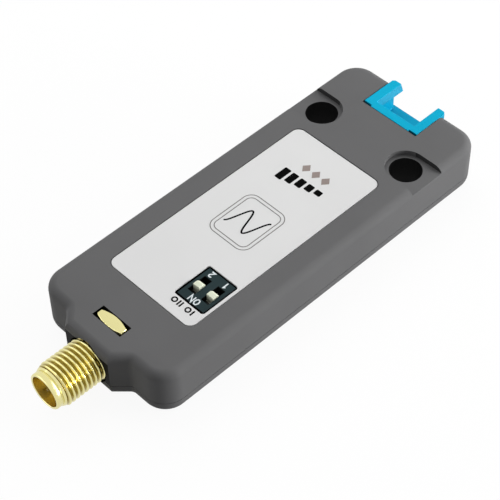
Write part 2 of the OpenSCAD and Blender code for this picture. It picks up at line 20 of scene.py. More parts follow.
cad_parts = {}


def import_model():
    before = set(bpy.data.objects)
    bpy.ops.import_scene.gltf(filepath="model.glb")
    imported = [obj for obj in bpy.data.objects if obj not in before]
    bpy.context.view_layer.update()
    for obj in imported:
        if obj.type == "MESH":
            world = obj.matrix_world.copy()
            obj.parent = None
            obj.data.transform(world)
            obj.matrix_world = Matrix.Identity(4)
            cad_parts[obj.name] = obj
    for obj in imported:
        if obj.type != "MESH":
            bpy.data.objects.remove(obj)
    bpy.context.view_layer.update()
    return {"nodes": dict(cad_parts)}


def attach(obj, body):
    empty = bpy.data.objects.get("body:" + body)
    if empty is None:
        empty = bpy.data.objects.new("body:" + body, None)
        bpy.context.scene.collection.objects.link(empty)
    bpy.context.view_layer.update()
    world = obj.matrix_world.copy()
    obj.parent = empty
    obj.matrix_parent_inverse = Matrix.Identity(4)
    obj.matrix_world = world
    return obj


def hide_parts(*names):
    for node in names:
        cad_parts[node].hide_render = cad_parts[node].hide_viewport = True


LOG = logging.getLogger("radio_module")
MM = 0.001

Array = np.ndarray
Colour = tuple[float, float, float]


# Finishes

class Grain(Enum):
    """Fine relief of a finish."""

    MOULDED = "moulded"
    SMOOTH = "smooth"
    TURNED = "turned"
    ROLLED = "rolled"


@dataclass(frozen=True)
class Finish:
    """A finish of one kind of part, as a procedural material on Object coordinates.

    grain_mm is the size of the fine relief, relief_um its depth, and spread how much the colour and
    the gloss wander over the surface. Its last, darker colour, if any, is painted shade for the faces
    that are marked for it.
    """

    name: str
    slot: str
    colour: Colour
    roughness: float
    grain: Grain = Grain.SMOOTH
    grain_mm: float = 0.25
    relief_um: float = 2.0
    spread: float = 0.08
    metallic: float = 0.0
    coat: float = 0.0
    specular: float = 0.5
    painted_shade: Colour | None = None

    def material(self) -> bpy.types.Material:
        """The finish's material, made once.

        Returns:
            The Blender material.
        """
        made = bpy.data.materials.get(self.name)
        if made is not None:
            return made
        made = bpy.data.materials.new(self.name)
        made.use_nodes = True
        tree = made.node_tree
        shader = tree.nodes["Principled BSDF"]
        shader.inputs["Metallic"].default_value = self.metallic
        shader.inputs["Coat Weight"].default_value = self.coat
        shader.inputs["Specular IOR Level"].default_value = self.specular
        place = tree.nodes.new("ShaderNodeTexCoord").outputs["Object"]
        broad = self._noise(tree, place, 9.0, 2.0)
        fine = self._noise(tree, place, self.grain_mm, 3.0)
        colour = self._wander(tree, broad)
        if self.painted_shade is not None:
            colour = self._mix_painted_shade(tree, colour)
        tree.links.new(colour, shader.inputs["Base Color"])
        self._link_roughness(tree, broad, fine, shader)
        self._link_relief(tree, place, fine, shader)
        return made

    def _noise(self, tree: bpy.types.NodeTree, place: bpy.types.NodeSocket, size_mm: float,
               detail: float) -> bpy.types.NodeSocket:
        """Noise whose features are size_mm across, as a value from 0 to 1.

        Args:
            tree: The material's nodes.
            place: Object coordinates.
            size_mm: Size of a feature.
            detail: Number of octaves.

        Returns:
            The noise's value.
        """
        noise = tree.nodes.new("ShaderNodeTexNoise")
        noise.inputs["Scale"].default_value = 1.0 / (size_mm * MM)
        noise.inputs["Detail"].default_value = detail
        tree.links.new(place, noise.inputs["Vector"])
        return noise.outputs["Fac"]

    def _wander(self, tree: bpy.types.NodeTree, broad: bpy.types.NodeSocket) -> bpy.types.NodeSocket:
        """The base colour, a little darker and lighter from place to place.

        Args:
            tree: The material's nodes.
            broad: The broad noise.

        Returns:
            The colour.
        """
        ramp = tree.nodes.new("ShaderNodeValToRGB")
        ends = zip(ramp.color_ramp.elements, (0.3, 0.7), (1.0 - self.spread, 1.0 + self.spread))
        for element, position, gain in ends:
            element.position = position
            element.color = (*(min(1.0, c * gain) for c in self.colour), 1.0)
        tree.links.new(broad, ramp.inputs["Fac"])
        return ramp.outputs["Color"]

    def _mix_painted_shade(self, tree: bpy.types.NodeTree, colour: bpy.types.NodeSocket) -> bpy.types.NodeSocket:
        """The colour, mixed with the finish's painted shade colour by each face's mark.

        Args:
            tree: The material's nodes.
            colour: The colour so far.

        Returns:
            The mixed colour.
        """
        marks = tree.nodes.new("ShaderNodeAttribute")
        marks.attribute_name = PAINTED_SHADE
        mix = tree.nodes.new("ShaderNodeMix")
        mix.data_type = "RGBA"
        mix.inputs["B"].default_value = (*self.painted_shade, 1.0)
        tree.links.new(colour, mix.inputs["A"])
        tree.links.new(marks.outputs["Fac"], mix.inputs["Factor"])
        return mix.outputs["Result"]

    def _link_roughness(self, tree: bpy.types.NodeTree, broad: bpy.types.NodeSocket,
                        fine: bpy.types.NodeSocket, shader: bpy.types.Node) -> None:
        """Gives the shader a roughness that wanders with both noises.

        Args:
            tree: The material's nodes.
            broad: The broad noise.
            fine: The fine noise.
            shader: The shader node.
        """
        blend = tree.nodes.new("ShaderNodeMath")
        blend.operation = "ADD"
        spread = tree.nodes.new("ShaderNodeMapRange")
        spread.inputs["From Max"].default_value = 2.0
        spread.inputs["To Min"].default_value = self.roughness * (1.0 - 1.5 * self.spread)
        spread.inputs["To Max"].default_value = min(1.0, self.roughness * (1.0 + 1.5 * self.spread))
        tree.links.new(broad, blend.inputs[0])
        tree.links.new(fine, blend.inputs[1])
        tree.links.new(blend.outputs["Value"], spread.inputs["Value"])
        tree.links.new(spread.outputs["Result"], shader.inputs["Roughness"])

    def _link_relief(self, tree: bpy.types.NodeTree, place: bpy.types.NodeSocket,
                     fine: bpy.types.NodeSocket, shader: bpy.types.Node) -> None:
        """Gives the shader the finish's fine relief.

        Args:
            tree: The material's nodes.
            place: Object coordinates.
            fine: The fine noise.
            shader: The shader node.
        """
        height = fine
        if self.grain in (Grain.TURNED, Grain.ROLLED):
            marks = tree.nodes.new("ShaderNodeTexWave")
            marks.bands_direction = "X" if self.grain is Grain.TURNED else "Y"
            marks.inputs["Scale"].default_value = 0.3 / (self.grain_mm * MM)
            marks.inputs["Distortion"].default_value = 1.5
            tree.links.new(place, marks.inputs["Vector"])
            height = marks.outputs["Fac"]
        bump = tree.nodes.new("ShaderNodeBump")
        bump.inputs["Strength"].default_value = 1.0
        bump.inputs["Distance"].default_value = self.relief_um * MM * MM
        tree.links.new(height, bump.inputs["Height"])
        tree.links.new(bump.outputs["Normal"], shader.inputs["Normal"])


AXIS_Z = 4.0
# Name of the face attribute that holds each face's share of painted shade.
PAINTED_SHADE = "painted_shade"

# Painted shade: the case's near-black second colour goes on its faces in the pin holes, round the jack,
# inside it and on the recesses' walls.
CASE_PLASTIC = Finish("case_plastic_matt", "case_plastic", (0.135, 0.135, 0.137), 0.66,
                      Grain.MOULDED, 0.16, 3.0, 0.03, specular=0.12, painted_shade=(0.001, 0.001, 0.001))
LABEL_FILM = Finish("label_film_satin", "label_film", (0.74, 0.74, 0.738), 0.5,
                    grain_mm=0.8, relief_um=0.6, spread=0.012, specular=0.3)
INK_BLACK = Finish("ink_black", "label_film", (0.002, 0.002, 0.002), 0.7, grain_mm=0.12, relief_um=0.5,
                   specular=0.02)
INK_TAUPE = Finish("ink_taupe", "label_film", (0.27, 0.22, 0.2), 0.55, grain_mm=0.12, relief_um=0.5)
INK_GREY = Finish("ink_grey", "label_film", (0.17, 0.165, 0.16), 0.55, grain_mm=0.12, relief_um=0.5)
INK_WHITE = Finish("ink_white", "switch_dark", (0.72, 0.78, 0.8), 0.5, grain_mm=0.12, relief_um=0.5)
# Painted shade: the switch cover's near-black second colour darkens its faces below the rim, in the
# window.
SWITCH_DARK = Finish("switch_dark_satin", "switch_dark", (0.017, 0.032, 0.035), 0.45,
                     Grain.MOULDED, 0.1, 1.0, 0.12, specular=0.1, painted_shade=(0.002, 0.002, 0.002))
# Painted shade: the levers' dark second colour goes on their faces below the slide's top, down in the
# slots.
LEVER_WHITE = Finish("lever_white_moulding", "lever_white", (0.72, 0.76, 0.6), 0.34,
                     Grain.MOULDED, 0.2, 0.8, 0.05, painted_shade=(0.01, 0.012, 0.01))
# Painted shade: the socket's second, darker blue is for its faces inside the notch.
SOCKET_BLUE = Finish("socket_blue_nylon", "socket_blue", (0.0, 0.42, 0.65), 0.45,
                     Grain.MOULDED, 0.14, 1.5, 0.05, specular=0.12, painted_shade=(0.0, 0.33, 0.53))
GOLD = Finish("gold_plate_bright", "gold_plate", (0.88, 0.78, 0.42), 0.2, Grain.TURNED, 0.05, 0.6,
              0.05, metallic=1.0)
# Painted shade: the thread's second, olive colour darkens its grooves.
GOLD_THREAD = Finish("gold_plate_thread", "gold_plate", (0.79, 0.73, 0.35), 0.22, Grain.TURNED, 0.05,
                     0.5, 0.05, metallic=1.0, painted_shade=(0.27, 0.19, 0.02))
# Painted reflection: a warmer, more orange gold for the faces in the jack's mouth.
GOLD_MOUTH_PAINTED_REFLECTION = Finish("gold_plate_mouth_painted_reflection", "gold_plate", (0.98, 0.8, 0.25), 0.3, Grain.TURNED, 0.05,
                    0.5, 0.05, metallic=1.0)
GOLD_SHADED = Finish("gold_plate_shaded", "gold_plate", (0.16, 0.11, 0.02), 0.4, Grain.TURNED, 0.05,
                     0.5, 0.05, metallic=1.0)
TIN = Finish("tin_plate_dull", "tin_plate", (0.68, 0.68, 0.66), 0.34, Grain.ROLLED, 0.06, 0.6, 0.05,
             metallic=1.0)
MASK_DARK = Finish("solder_mask_dark", "board_dark", (0.02, 0.03, 0.03), 0.34, grain_mm=0.5)
MASK_GREEN = Finish("solder_mask_green", "board_green", (0.02, 0.16, 0.08), 0.32, grain_mm=0.5)
EPOXY = Finish("epoxy_black", "black_mould", (0.02, 0.02, 0.02), 0.6, Grain.MOULDED, 0.08, 2.0, 0.1)
CERAMIC = Finish("ceramic_tan", "ceramic", (0.45, 0.33, 0.22), 0.5, Grain.MOULDED, 0.06, 1.0, 0.1)
INSULATOR = Finish("insulator_waxy", "insulator_white", (0.8, 0.8, 0.77), 0.45, grain_mm=0.3)
LEAD_JACKET = Finish("lead_jacket", "lead_grey", (0.16, 0.16, 0.17), 0.4, grain_mm=0.2)
SCREW_BLACK = Finish("screw_black_oxide", "screw_steel", (0.06, 0.06, 0.062), 0.38, Grain.TURNED,
                     0.07, 1.0, 0.1, metallic=0.85)


# Meshes

@dataclass
class MeshParts:
    """Gathers shells into the vertices and faces of one mesh, in millimetres."""

    points: list[Array] = field(default_factory=list)
    faces: list[tuple[int, ...]] = field(default_factory=list)
    count: int = 0

    def add(self, points: Array, faces: list[tuple[int, ...]]) -> None:
        """Adds a shell.

        Args:
            points: Its vertices, as rows of x, y, z.
            faces: Its faces, by row.
        """
        self.points.append(points)
        self.faces.extend(tuple(i + self.count for i in face) for face in faces)
        self.count += len(points)

    def add_grid(self, grid: Array, wrap_rows: bool = False, wrap_columns: bool = False,
                 caps: bool = False) -> None:
        """Adds a surface of two parameters: point (i, j) joins its neighbours in a row and a column.

        Args:
            grid: The points, as rows × columns × 3.
            wrap_rows: Whether the last row joins the first.
            wrap_columns: Whether the last column joins the first.
            caps: Whether the first and last row are closed by a face each.
        """
        rows, columns = grid.shape[:2]
        i = np.arange(rows if wrap_rows else rows - 1)[:, None]
        j = np.arange(columns if wrap_columns else columns - 1)[None, :]
        after_i, after_j = (i + 1) % rows, (j + 1) % columns
        quads = np.stack([i * columns + j, i * columns + after_j,
                          after_i * columns + after_j, after_i * columns + j], axis=-1)
        faces = [tuple(q) for q in quads.reshape(-1, 4).tolist()]
        if caps:
            faces.append(tuple(range(columns - 1, -1, -1)))
            faces.append(tuple(range((rows - 1) * columns, rows * columns)))
        self.add(grid.reshape(-1, 3), faces)

    def add_prism(self, outline: Array, low: float, high: float) -> None:
        """Adds an upright prism on a closed outline that runs anticlockwise.

        Args:
            outline: The outline, as rows of x, y.
            low: Height of its base.
            high: Height of its top.
        """
        n = len(outline)
        rings = [np.column_stack([outline, np.full(n, z)]) for z in (low, high)]
        self.add_grid(np.stack(rings), wrap_columns=True, caps=True)

    def add_stroke(self, path: Array, width: float, low: float, high: float,
                   closed: bool = False) -> None:
        """Adds a flat stroke of even width along a path.

        Each point is set off to both sides along the mitre of its two segments' normals, by half the
        width over the cosine of half the turn.

        Args:
            path: The stroke's middle, as rows of x, y.
            width: Its width.
            low: Height of its underside.
            high: Height of its top.
            closed: Whether the path runs back to its first point.
        """
        after = np.roll(path, -1, axis=0) - path
        if not closed:
            after[-1] = after[-2]
        after /= np.linalg.norm(after, axis=1, keepdims=True)
        before = np.roll(after, 1, axis=0)
        if not closed:
            before[0] = after[0]
        normals = [np.column_stack([-t[:, 1], t[:, 0]]) for t in (before, after)]
        mitre = normals[0] + normals[1]
        mitre /= np.maximum(1.0 + np.sum(normals[0] * normals[1], axis=1, keepdims=True), 0.2)
        left, right = path + mitre * width / 2, path - mitre * width / 2
        columns = [(right, low), (right, high), (left, high), (left, low)]
        grid = np.stack([np.column_stack([p, np.full(len(p), z)]) for p, z in columns], axis=1)
        self.add_grid(grid, wrap_rows=closed, wrap_columns=True, caps=not closed)

    def build(self, name: str, finish: Finish, sharp_deg: float = 35.0) -> bpy.types.Object:
        """Makes the gathered shells one object.

        Args:
            name: The object's name.
            finish: Its finish.
            sharp_deg: Turn between two faces past which their edge looks sharp.

        Returns:
            The object, at the origin.
        """
        mesh = bpy.data.meshes.new(name)
        mesh.from_pydata((np.vstack(self.points) * MM).tolist(), [], self.faces)
        work = bmesh.new()
        work.from_mesh(mesh)
        bmesh.ops.remove_doubles(work, verts=work.verts, dist=1e-8)
        bmesh.ops.recalc_face_normals(work, faces=work.faces)
        mark_edges(work, sharp_deg)
        work.to_mesh(mesh)
        work.free()
        piece = bpy.data.objects.new(name, mesh)
        bpy.context.scene.collection.objects.link(piece)
        dress(piece, finish)
        LOG.info("%s: %d faces", name, len(mesh.polygons))
        return piece


def mark_edges(work: bmesh.types.BMesh, sharp_deg: float) -> None:
    """Smooths all faces and keeps the edges sharp whose faces turn by more than a limit.

    Args:
        work: The mesh.
        sharp_deg: The limit.
    """
    for face in work.faces:
        face.smooth = True
    for edge in work.edges:
        edge.smooth = edge.calc_face_angle(0.0) < math.radians(sharp_deg)


def dress(piece: bpy.types.Object, finish: Finish) -> None:
    """Gives a piece or a carried-over node its finish.

    Args:
        piece: The object.
        finish: Its finish.
    """
    piece.data.materials.clear()
    piece.data.materials.append(finish.material())


def place(piece: bpy.types.Object, body: str, finish: Finish, *nodes: str) -> None:
    """Puts a piece on its body and in its nodes' place.

    Args:
        piece: The object.
        body: The body that it moves with.
        finish: Its finish; not used.
        nodes: The CAD nodes that it stands for.
    """
    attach(piece, body)
    if nodes:
        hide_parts(*nodes)


def softened(node: bpy.types.Object, name: str, finish: Finish, edge_mm: float = 0.0,
             sharp_deg: float = 30.0) -> bpy.types.Object:
    """A copy of a CAD node with joined faces, smooth curves and broken edges.

    Args:
        node: The CAD node.
        name: The copy's name.
        finish: Its finish.
        edge_mm: Width of the edges' rounding, or 0 for none.
        sharp_deg: Turn between two faces past which their edge counts as an edge.

    Returns:
        The copy.
    """
    mesh = node.data.copy()
    work = bmesh.new()
    work.from_mesh(mesh)
    bmesh.ops.remove_doubles(work, verts=work.verts, dist=2e-7)
    bmesh.ops.dissolve_limit(work, angle_limit=math.radians(0.5), verts=work.verts, edges=work.edges)
    mark_edges(work, sharp_deg)
    work.to_mesh(mesh)
    work.free()
    if mesh.has_custom_normals:
        mesh.attributes.remove(mesh.attributes["custom_normal"])
    piece = bpy.data.objects.new(name, mesh)
    bpy.context.scene.collection.objects.link(piece)
    if edge_mm > 0.0:
        bevel = piece.modifiers.new("edges", "BEVEL")
        bevel.width = edge_mm * MM
        bevel.segments = 3
        bevel.limit_method = "ANGLE"
        bevel.angle_limit = math.radians(sharp_deg)
        bevel.harden_normals = True
    dress(piece, finish)
    LOG.info("%s: %d faces", name, len(mesh.polygons))
    return piece


def mark_painted_shade(piece: bpy.types.Object, share: Callable[[Array], Array]) -> None:
    """Marks how much painted shade each face of a piece gets, in its finish's painted shade colour.

    Args:
        piece: The object.
        share: Gives each face's share of the painted shade colour from the faces' middles, x, y, z in
            rows.
    """
    mesh = piece.data
    middles = np.empty(len(mesh.polygons) * 3)
    mesh.polygons.foreach_get("center", middles)
    marks = mesh.attributes.new(PAINTED_SHADE, "FLOAT", "FACE")
    marks.data.foreach_set("value", share(middles.reshape(-1, 3) / MM).astype(float))


def circle(centre: tuple[float, float], radius: float, steps: int = 48) -> Array:
    """Points on a circle: centre plus radius times cosine and sine of an even turn.

    Args:
        centre: Its centre.
        radius: Its radius.
        steps: Number of points.

    Returns:
        The points, anticlockwise, as rows of x, y.
    """
    turn = np.linspace(0.0, 2.0 * np.pi, steps, endpoint=False)
    return np.column_stack([centre[0] + radius * np.cos(turn), centre[1] + radius * np.sin(turn)])


def rounded_rectangle(centre: tuple[float, float], size: tuple[float, float], radius: float,
                      steps: int = 10) -> Array:
    """Outline of a rectangle with round corners: each corner is a quarter of a circle.

    Args:
        centre: Its centre.
        size: Its length and width.
        radius: Radius of its corners.
        steps: Points at each corner.

    Returns:
        The outline, anticlockwise, as rows of x, y.
    """
    half = np.array(size) / 2 - radius
    corner = np.repeat(np.array([[1, 1], [-1, 1], [-1, -1], [1, -1]]), steps, axis=0)
    turn = (np.arange(4)[:, None] * 0.5 + np.linspace(0.0, 0.5, steps)[None, :]).ravel() * np.pi
    return np.array(centre) + corner * half + radius * np.column_stack([np.cos(turn), np.sin(turn)])


# Sub-assemblies

@dataclass
class CaseHalves:
    """The two moulded halves of the case, and their screws."""

    edge: float = 0.0
    hole_y: float = 8.0
    hole_r: float = 2.4
    hole_z: tuple[float, float] = (0.9, 7.1)
    inside_x: tuple[float, float] = (-9.4, 44.9)
    inside_y: float = 10.2
    inside_z: tuple[float, float] = (0.9, 7.72)
    recess_r: float = 3.1
    pocket_end: float = 47.8
    pocket_y: float = 5.3
    bore_r: float = 3.5
    wall_x: float = -2.9
    wall_share: float = 0.7

    def build(self, nodes: dict[str, bpy.types.Object]) -> None:
        """Makes the case's pieces.

        Args:
            nodes: The frame's CAD nodes.
        """
        for half in ("top", "bottom"):
            node = nodes[f"{half}_shell"]
            piece = softened(node, f"case_{half}_moulding", CASE_PLASTIC, self.edge)
            # Painted shade: near black in the pin holes, the jack's bore and pocket and inside the case,
            # and partly on the recesses' walls.
            mark_painted_shade(piece, self.painted_shade_share)
            place(piece, "housing", CASE_PLASTIC, node.name)
        dress(nodes["case_screws"], SCREW_BLACK)

    def painted_shade_share(self, middles: Array) -> Array:
        """Painted shade for a face that lies deep: inside the case, in a pin hole, round the jack or in
        a recess.

        Args:
            middles: The faces' middles, as rows of x, y, z.

        Returns:
            Each face's share of the painted shade colour: 1, or less for the recesses' walls at the
            socket.
        """
        x, y, z = middles.T
        beside_hole = np.abs(y) - self.hole_y
        at_hole_height = (z > self.hole_z[0]) & (z < self.hole_z[1])
        in_hole = (np.hypot(x, beside_hole) < self.hole_r) & at_hole_height
        at_recess = (np.abs(x) < self.recess_r) & (beside_hole > -self.recess_r)
        high_enough = (z > self.inside_z[0]) & (z < self.inside_z[1])
        in_room = (x > self.inside_x[0]) & (x < self.inside_x[1]) & (np.abs(y) < self.inside_y)
        in_pocket = (x > self.inside_x[1]) & (x < self.pocket_end) & (np.abs(y) < self.pocket_y)
        in_bore = (x > self.inside_x[1]) & (np.hypot(y, z - AXIS_Z) < self.bore_r)
        painted_shade = in_hole | in_bore | (in_room & high_enough & ~at_recess) | (in_pocket & high_enough)
        wall = at_recess & (x < self.wall_x) & (z > self.hole_z[1]) & (z < self.inside_z[1])
        return np.select([painted_shade, wall], [1.0, self.wall_share], 0.0)


@dataclass
class FaceLabel:
    """The film on the top face, with its print as thin raised ink."""

    top: float = 7.95
    ink: float = 0.012
    bars_x: float = 11.7
    bar_pitch: float = 1.5
    bar_width: float = 1.1
    frame_centre: tuple[float, float] = (22.6, 0.0)
    frame_size: tuple[float, float] = (8.6, 7.2)
    mark_x: float = 38.5
    lever_y: tuple[float, float] = (5.91, 3.41)

    def build(self, nodes: dict[str, bpy.types.Object]) -> None:
        """Makes the film's print and dresses the film.

        Args:
            nodes: The frame's CAD nodes.
        """
        dress(nodes["label"], LABEL_FILM)
        for name, finish, parts in (("print_black", INK_BLACK, self.black()),
                                    ("print_taupe", INK_TAUPE, self.taupe()),
                                    ("print_grey", INK_GREY, self.grey())):
            place(parts.build(name, finish), "housing", finish)

    def black(self) -> MeshParts:
        """Five bars that grow along the label's width, a wave in its frame, and the switch's marks.

        The wave's height is a sine of the distance along it, three halves of a turn long.

        Returns:
            The shells of the black ink.
        """
        parts, high = MeshParts(), self.top + self.ink
        for i in range(5):
            length = 0.95 + 0.35 * i
            centre = (self.bars_x + length / 2, 3.0 - i * self.bar_pitch)
            outline = rounded_rectangle(centre, (length, self.bar_width), 0.18)
            parts.add_prism(outline, self.top, high)
        along = np.linspace(-2.6, 2.6, 61)
        height = 1.9 * np.sin(along / 2.6 * 1.5 * np.pi)
        wave = np.column_stack([self.frame_centre[0] + height, self.frame_centre[1] + along])
        parts.add_stroke(wave, 0.26, self.top, high)
        for y, marks in zip(self.lever_y, (1, 2)):
            ring = circle((self.mark_x, y - 0.45), 0.36)
            parts.add_stroke(ring, 0.22, self.top, high, closed=True)
            for i in range(marks):
                bar = rounded_rectangle((self.mark_x, y + 0.35 + 0.45 * i), (0.94, 0.24), 0.05)
                parts.add_prism(bar, self.top, high)
        return parts

    def taupe(self) -> MeshParts:
        """A row of three lozenges under the bars.

        Returns:
            The shells of the taupe ink.
        """
        parts = MeshParts()
        lozenge = np.array([[0.85, 0.0], [0.0, 0.7], [-0.85, 0.0], [0.0, -0.7]])
        for y in (2.2, 0.4, -1.4):
            parts.add_prism(lozenge + np.array([9.9, y]), self.top, self.top + self.ink)
        return parts

    def grey(self) -> MeshParts:
        """The thin frame round the wave and its middle line.

        Returns:
            The shells of the grey ink.
        """
        parts, high = MeshParts(), self.top + self.ink
        for inset in (0.0, 1.1):
            size = tuple(s - inset for s in self.frame_size)
            outline = rounded_rectangle(self.frame_centre, size, 1.5 - inset / 2)
            parts.add_stroke(outline, 0.13, self.top, high, closed=True)
        return parts


@dataclass
class SlideSwitch:
    """The two-way slide switch in its window, with its legend."""

    top: float = 7.8
    ink: float = 0.012
    stroke: float = 0.2
    edge: float = 0.05
    rim: float = 0.05
    slide_top: float = 7.0

    def build(self, nodes: dict[str, bpy.types.Object]) -> None:
        """Makes the switch's pieces.

        Args:
            nodes: The frame's CAD nodes.
        """
        cover = softened(nodes["switch_cover"], "switch_cover_moulding", SWITCH_DARK, self.edge)
        # Painted shade: the cover's faces more than the rim below its top turn near black.
        mark_painted_shade(cover, lambda middles: middles[:, 2] < self.top - self.rim)
        place(cover, "housing", SWITCH_DARK, "switch_cover")
        for i in (1, 2):
            node = f"switch_lever_{i}"
            knob = softened(nodes[node], f"{node}_moulding", LEVER_WHITE, 2 * self.edge)
            # Painted shade: the knob's faces below the slide's top are painted dark.
            mark_painted_shade(knob, lambda middles: middles[:, 2] < self.slide_top)
            place(knob, f"lever_{i}", LEVER_WHITE, node)
        place(self.legend().build("switch_legend", INK_WHITE), "housing", INK_WHITE)
        dress(nodes["switch_base"], EPOXY)
        dress(nodes["switch_terminals"], TIN)

    def legend(self) -> MeshParts:
        """The numbers 1 and 2 and the word ON, as strokes.

        A glyph's path runs right by u and up by v, both from its foot's middle. It reads along -Y
        with its top towards +X.

        Returns:
            The legend's shells.
        """
        turn = np.radians(np.linspace(160.0, -40.0, 14))
        hook = np.column_stack([0.23 * np.cos(turn), 0.72 + 0.25 * np.sin(turn)])
        ring = np.radians(np.linspace(0.0, 360.0, 28, endpoint=False))
        glyphs = (
            ((31.76, 5.9), 0.94, [[-0.2, 0.8], [0.04, 1.0], [0.04, 0.0]], False),
            ((31.82, 3.25), 0.9, [*hook.tolist(), [-0.25, 0.0], [0.29, 0.0]], False),
            ((36.27, 4.29), 1.0, [[-0.33, 0.0], [-0.33, 1.0], [0.33, 0.0], [0.33, 1.0]], False),
            ((36.27, 5.22), 1.0,
             np.column_stack([0.31 * np.cos(ring), 0.5 + 0.46 * np.sin(ring)]).tolist(), True),
        )
        parts = MeshParts()
        for foot, height, path, closed in glyphs:
            u, v = np.array(path).T
            points = np.column_stack([foot[0] + v * height, foot[1] - u])
            parts.add_stroke(points, self.stroke, self.top, self.top + self.ink, closed)
        return parts


@dataclass
class CableSocket:
    """The blue four-way socket in the case's end."""

    edge: float = 0.1
    roof_z: float = 7.9
    lip_x: float = -11.8

    def build(self, nodes: dict[str, bpy.types.Object]) -> None:
        """Makes the socket's pieces.

        Args:
            nodes: The frame's CAD nodes.
        """
        housing = softened(nodes["socket_housing"], "socket_moulding", SOCKET_BLUE, self.edge)
        # Painted shade: faces under the roof and behind the lip get the darker blue.
        mark_painted_shade(housing, lambda middles: (middles[:, 2] < self.roof_z) & (middles[:, 0] > self.lip_x))
        place(housing, "housing", SOCKET_BLUE, "socket_housing")
        dress(nodes["socket_contacts"], GOLD)
        dress(nodes["socket_anchors"], TIN)


